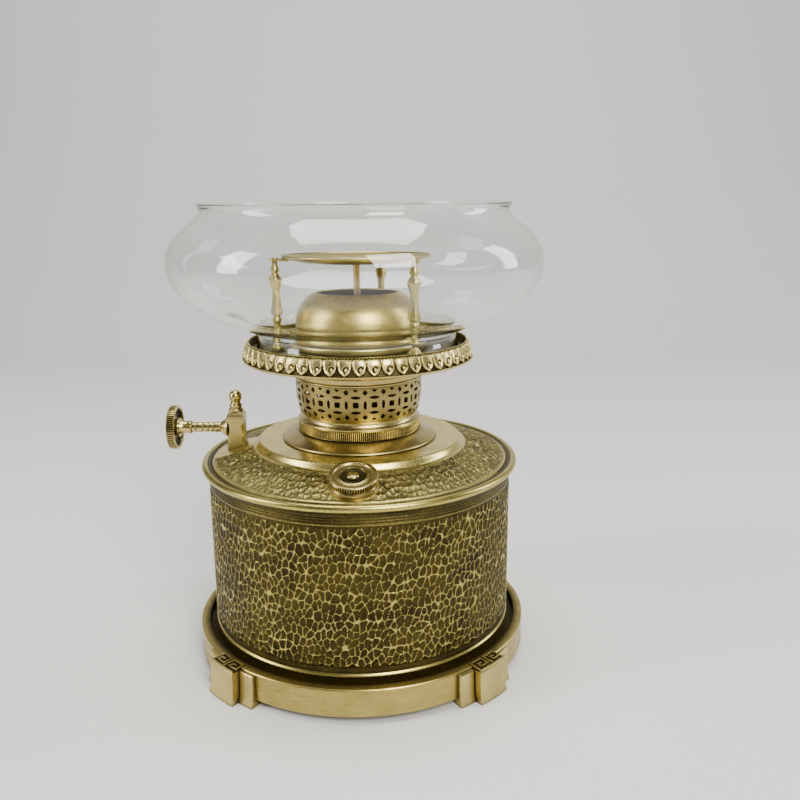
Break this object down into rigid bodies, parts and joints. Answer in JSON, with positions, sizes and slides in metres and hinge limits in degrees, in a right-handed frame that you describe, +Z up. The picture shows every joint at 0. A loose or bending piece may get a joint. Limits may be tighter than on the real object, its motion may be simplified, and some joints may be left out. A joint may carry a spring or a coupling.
{
  "type": "oil lamp",
  "caption": "Brass central-draught oil lamp on a footed stand, with hammered tank, screw filler cap, geared wick raiser, lift-off gallery, pot rest on posts and an open glass globe.",
  "frame": {"origin": "on the lamp's axis, in the plane its four feet stand on", "axes": "+Z up along the lamp's axis, -Y towards the filler cap at the front, -X towards the wick hand wheel"},
  "size_m": [0.1877, 0.1818, 0.2275],
  "materials": {
    "brushed_brass": "satin, brushed round the axis, darkened in the recesses",
    "cast_brass": "cast and lacquered, dark patina in the recesses",
    "hammered_brass": "hand-hammered, dark patina in the dimples, bright ridges",
    "turned_brass": "turned, satin",
    "bright_brass": "drawn, clean",
    "seal": "matt",
    "packing": "graphited yarn",
    "steel": "drawn",
    "wick_cotton": "woven cotton",
    "globe_glass": "clear, polished, faint green at the edges"
  },
  "bodies": {
    "stand": {"stand_ring": "brushed_brass", "stand_feet": "cast_brass"},
    "tank": {"tank_side": "hammered_brass", "tank_bottom": "brushed_brass", "tank_top": "hammered_brass", "burner_collar": "turned_brass", "draft_tube": "bright_brass", "filler_neck": "turned_brass", "rack_post": "cast_brass", "post_finial": "turned_brass", "shaft_gland": "turned_brass", "gland_packing": "packing"},
    "cap_seal": {"cap_gasket": "seal"},
    "filler_cap": {"filler_cap": "turned_brass", "cap_button": "turned_brass"},
    "wick_knob": {"knob_shaft": "turned_brass", "knob_hub": "turned_brass", "knob_wheel": "turned_brass", "pinion": "steel"},
    "wick_carrier": {"rack": "bright_brass", "carrier_arm": "bright_brass", "carrier_ring": "bright_brass", "wick": "wick_cotton"},
    "burner_seal": {"burner_gasket": "seal"},
    "burner": {"burner_ring": "turned_brass", "burner_basket": "cast_brass", "burner_deck": "brushed_brass", "wick_tube": "bright_brass"},
    "gallery": {"gallery_collar": "brushed_brass", "gallery_plate": "brushed_brass", "gallery_rim": "cast_brass", "cone_seat": "brushed_brass", "draught_cone": "brushed_brass", "pot_posts": "cast_brass", "post_nuts": "turned_brass", "pot_plate": "brushed_brass", "spreader_rod": "bright_brass", "flame_spreader": "bright_brass"},
    "globe": {"glass_globe": "globe_glass"}
  },
  "joints": [
    {"name": "tank_lift", "type": "slide", "parent": "stand", "child": "tank", "axis": [0, 0, 1], "range_m": [0, 0.05]},
    {"name": "cap_rise", "type": "slide", "parent": "tank", "child": "cap_seal", "axis": [0, -0.289, 0.9573], "range_m": [0, 0.0051]},
    {"name": "cap_turn", "type": "hinge", "parent": "cap_seal", "child": "filler_cap", "pos_m": [0, -0.0623, 0.10555], "axis": [0, -0.289, 0.9573], "range_deg": [0, 1440]},
    {"name": "knob_turn", "type": "hinge", "parent": "tank", "child": "wick_knob", "pos_m": [-0.063, 0, 0.1155], "axis": [1, 0, 0], "range_deg": [0, 171]},
    {"name": "wick_lift", "type": "slide", "parent": "tank", "child": "wick_carrier", "axis": [0, 0, 1], "range_m": [0, 0.00596]},
    {"name": "burner_rise", "type": "slide", "parent": "tank", "child": "burner_seal", "axis": [0, 0, 1], "range_m": [0, 0.0031]},
    {"name": "burner_turn", "type": "hinge", "parent": "burner_seal", "child": "burner", "pos_m": [0, 0, 0.1155], "axis": [0, 0, 1], "range_deg": [0, 720]},
    {"name": "gallery_lift", "type": "slide", "parent": "burner", "child": "gallery", "axis": [0, 0, 1], "range_m": [0, 0.05]},
    {"name": "globe_lift", "type": "slide", "parent": "gallery", "child": "globe", "axis": [0, 0, 1], "range_m": [0, 0.06]}
  ],
  "couplings": [
    {"joint": "knob_turn", "follows": "wick_lift", "rad_per_m": 500},
    {"joint": "cap_rise", "follows": "cap_turn", "m_per_rad": 0.00019894},
    {"joint": "burner_rise", "follows": "burner_turn", "m_per_rad": 0.00023873}
  ]
}
